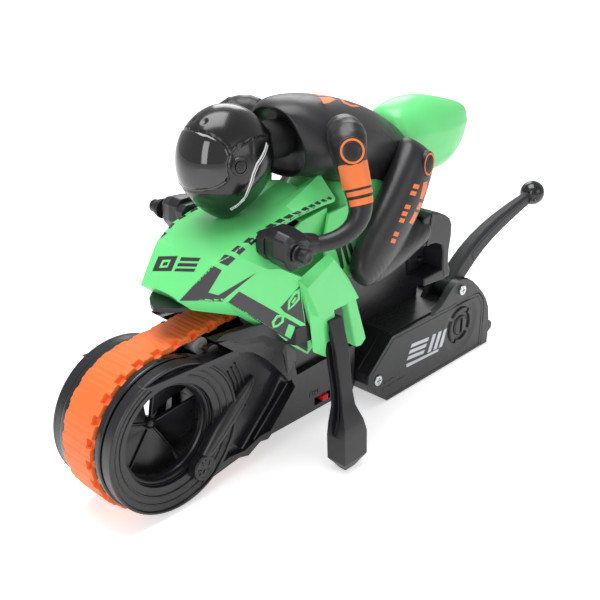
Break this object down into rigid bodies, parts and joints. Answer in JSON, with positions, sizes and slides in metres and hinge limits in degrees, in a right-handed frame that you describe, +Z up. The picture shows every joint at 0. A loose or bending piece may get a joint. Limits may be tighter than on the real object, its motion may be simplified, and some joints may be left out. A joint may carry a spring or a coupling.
{
  "type": "radio-controlled toy motorcycle",
  "caption": "Radio-controlled toy motorcycle with a belt-tracked hubless front wheel, crouched rider, side outriggers, steered rear wheel in a battery box and a ball-ended stunt lever.",
  "frame": {"origin": "on the ground, at the middle of the part's length and width", "axes": "+X forward, +Y to the rider's left, +Z up"},
  "size_m": [0.3362, 0.1208, 0.1769],
  "materials": {
    "belt_orange": "matte ribbed rubber",
    "frame_black": "satin moulded",
    "hoop_black": "semi-gloss",
    "panel_green": "satin painted moulding",
    "suit_black": "soft matt paint",
    "helmet_black": "high gloss",
    "visor_smoke": "high gloss tinted",
    "steel": "plated",
    "tyre_black": "matte rubber",
    "gear_white": "natural acetal",
    "switch_red": "satin",
    "board_green": "solder-masked board",
    "cell_wrap": "printed film sleeve",
    "contact_metal": "nickel plated",
    "motor_can": "drawn steel can",
    "lever_black": "fine textured"
  },
  "bodies": {
    "chassis": {"tread_belt": "belt_orange", "bearing_rings": "frame_black", "chassis_left": "frame_black", "chassis_right": "frame_black", "belly_pan": "frame_black", "idler_pin": "steel", "drive_motor": "motor_can", "motor_cradle": "frame_black", "roller_pin": "steel", "circuit_board": "board_green", "switch_case": "frame_black", "rear_box": "frame_black", "battery_cover": "frame_black", "battery_cells": "cell_wrap", "battery_contacts": "contact_metal", "case_screws": "steel", "lever_pivot_screw": "steel", "steering_motor": "motor_can", "outrigger_left": "frame_black", "outrigger_right": "frame_black", "handlebar": "frame_black", "bar_ends": "frame_black", "main_fairing": "panel_green", "nose_plate": "frame_black", "side_wing_left": "panel_green", "side_wing_right": "panel_green", "tank_cover": "panel_green", "body_bridge": "frame_black", "tail_cowl": "panel_green", "rider_torso": "suit_black", "helmet_shell": "helmet_black", "helmet_visor": "visor_smoke", "visor_pivots": "helmet_black", "rider_arm_left": "suit_black", "rider_arm_right": "suit_black", "rider_gloves": "frame_black", "rider_leg_left": "suit_black", "rider_leg_right": "suit_black", "rider_boots": "frame_black"},
    "front_wheel": {"front_drum": "frame_black", "rim_hoop_left": "hoop_black", "rim_hoop_right": "hoop_black", "turbine_web": "frame_black"},
    "drive_axle": {"drive_sprocket": "gear_white", "drive_shaft": "steel", "drive_gear": "gear_white"},
    "idler": {"idler_gear": "gear_white"},
    "motor_rotor": {"motor_pinion": "steel", "motor_shaft": "steel"},
    "roller": {"guide_roller": "gear_white"},
    "steering": {"steering_yoke": "gear_white", "rear_axle": "steel"},
    "rear_wheel": {"rear_rim": "frame_black", "rear_tyre": "tyre_black"},
    "steering_rotor": {"steering_pinion": "gear_white", "steering_motor_shaft": "steel"},
    "stunt_lever": {"stunt_lever": "lever_black", "lever_ball": "lever_black"},
    "power_switch": {"power_switch": "switch_red"}
  },
  "joints": [
    {"name": "front_wheel_spin", "type": "hinge", "parent": "chassis", "child": "front_wheel", "pos_m": [0.13065, 0, 0.0375], "axis": [0, 1, 0], "continuous": true},
    {"name": "drive_axle_spin", "type": "hinge", "parent": "chassis", "child": "drive_axle", "pos_m": [0.05265, 0, 0.0655], "axis": [0, 1, 0], "continuous": true},
    {"name": "idler_spin", "type": "hinge", "parent": "chassis", "child": "idler", "pos_m": [0.03464, 0.0126, 0.0551], "axis": [0, 1, 0], "continuous": true},
    {"name": "motor_spin", "type": "hinge", "parent": "chassis", "child": "motor_rotor", "pos_m": [0.02424, 0.0126, 0.0491], "axis": [0, 1, 0], "continuous": true},
    {"name": "roller_spin", "type": "hinge", "parent": "chassis", "child": "roller", "pos_m": [0.10565, 0, 0.0692], "axis": [0, 1, 0], "continuous": true},
    {"name": "steer", "type": "hinge", "parent": "chassis", "child": "steering", "pos_m": [-0.07585, 0, 0.0365], "axis": [0, 0, 1], "range_deg": [-12, 12]},
    {"name": "rear_wheel_spin", "type": "hinge", "parent": "steering", "child": "rear_wheel", "pos_m": [-0.07585, 0, 0.0174], "axis": [0, 1, 0], "continuous": true},
    {"name": "steering_motor_spin", "type": "hinge", "parent": "chassis", "child": "steering_rotor", "pos_m": [-0.06635, 0.01645, 0.0365], "axis": [0, 0, 1], "range_deg": [-45, 45]},
    {"name": "stunt_lever_pivot", "type": "hinge", "parent": "chassis", "child": "stunt_lever", "pos_m": [-0.07235, 0.018, 0.0461], "axis": [0, 1, 0], "range_deg": [-20, 35]},
    {"name": "power_switch_slide", "type": "slide", "parent": "chassis", "child": "power_switch", "axis": [1, 0, 0], "range_m": [0, 0.003]}
  ],
  "couplings": [
    {"joint": "drive_axle_spin", "follows": "front_wheel_spin", "ratio": 2.3057},
    {"joint": "idler_spin", "follows": "front_wheel_spin", "ratio": -3.6892},
    {"joint": "motor_spin", "follows": "front_wheel_spin", "ratio": 7.3783},
    {"joint": "roller_spin", "follows": "front_wheel_spin", "ratio": 6.8302},
    {"joint": "steering_motor_spin", "follows": "steer", "ratio": -3.75}
  ]
}
